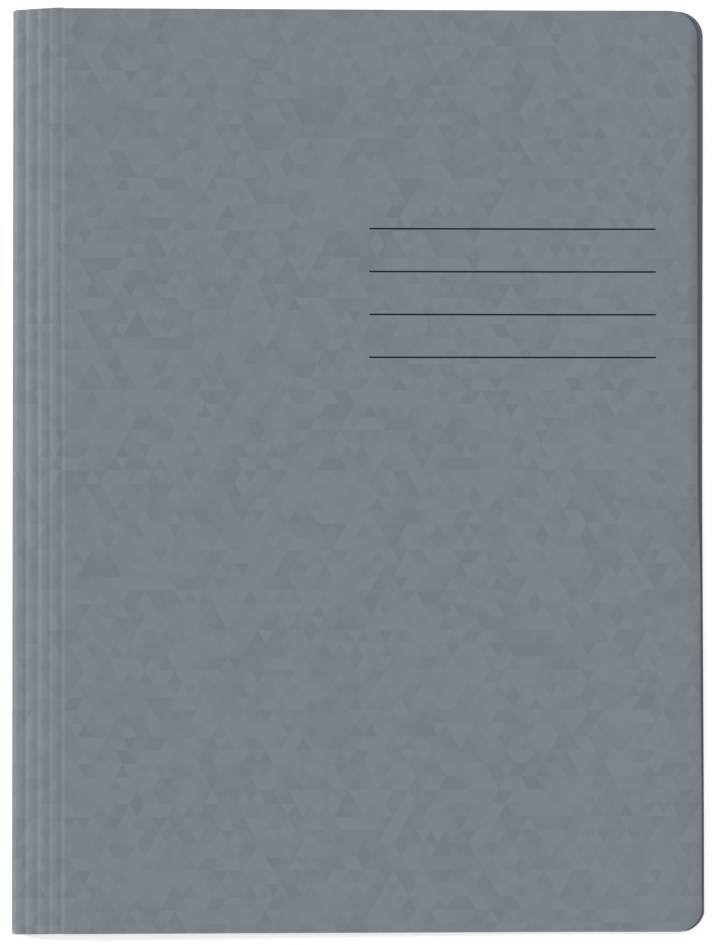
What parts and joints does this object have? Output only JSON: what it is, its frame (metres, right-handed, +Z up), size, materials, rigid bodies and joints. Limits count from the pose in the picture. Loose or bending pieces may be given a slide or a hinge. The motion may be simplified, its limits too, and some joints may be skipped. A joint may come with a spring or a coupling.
{
  "type": "fastener folder",
  "caption": "Flat card folder for punched A4 sheets: scored spine, filing pleat, and a two-tongue metal fastener with a bar under the front cover.",
  "frame": {"origin": "on the table, under the middle of the closed folder", "axes": "+X towards the fore edge, +Y towards the head, +Z up out of the front cover"},
  "size_m": [0.2394, 0.32, 0.0069],
  "materials": {
    "cover_card": "matt pressboard",
    "fastener_steel": "nickel-plated strip"
  },
  "bodies": {
    "back": {"back_cover": "cover_card"},
    "pleat": {"pleat_lower_layer": "cover_card", "pleat_fold": "cover_card", "pleat_upper_layer": "cover_card", "fastener_base": "fastener_steel", "spine_strip_1": "cover_card"},
    "tongue_head": {"tongue_head": "fastener_steel"},
    "tongue_foot": {"tongue_foot": "fastener_steel"},
    "bar": {"compressor_bar": "fastener_steel"},
    "spine": {"spine_strip_2": "cover_card", "spine_strip_3": "cover_card", "spine_strip_4": "cover_card", "spine_strip_5": "cover_card"},
    "cover": {"front_cover": "cover_card"}
  },
  "joints": [
    {"name": "cover_open", "type": "hinge", "parent": "pleat", "child": "spine", "pos_m": [-0.11945, 0, 0.00435], "axis": [0, -1, 0], "range_deg": [0, 127.8]},
    {"name": "last_groove_fold", "type": "hinge", "parent": "spine", "child": "cover", "pos_m": [-0.10275, 0, 0.0067], "axis": [0, -1, 0], "range_deg": [0, 25.4]},
    {"name": "pleat_lift", "type": "hinge", "parent": "back", "child": "pleat", "pos_m": [-0.1194, 0, 0.0005], "axis": [0, -1, 0], "range_deg": [0, 30]},
    {"name": "tongue_head_bend", "type": "hinge", "parent": "pleat", "child": "tongue_head", "pos_m": [-0.0897, 0.04, 0.00272], "axis": [-1, 0, 0], "range_deg": [0, 90]},
    {"name": "tongue_foot_bend", "type": "hinge", "parent": "pleat", "child": "tongue_foot", "pos_m": [-0.0897, -0.04, 0.00272], "axis": [1, 0, 0], "range_deg": [0, 90]},
    {"name": "bar_slide", "type": "slide", "parent": "pleat", "child": "bar", "axis": [0, 0, 1], "range_m": [0, 0.006]}
  ],
  "couplings": [
    {"joint": "last_groove_fold", "follows": "cover_open", "ratio": 0.19875},
    {"joint": "pleat_lift", "follows": "cover_open", "ratio": 0.23474},
    {"joint": "tongue_head_bend", "follows": "cover_open", "ratio": 0.70423},
    {"joint": "tongue_foot_bend", "follows": "cover_open", "ratio": 0.70423},
    {"joint": "bar_slide", "follows": "cover_open", "m_per_rad": 0.0026899}
  ]
}
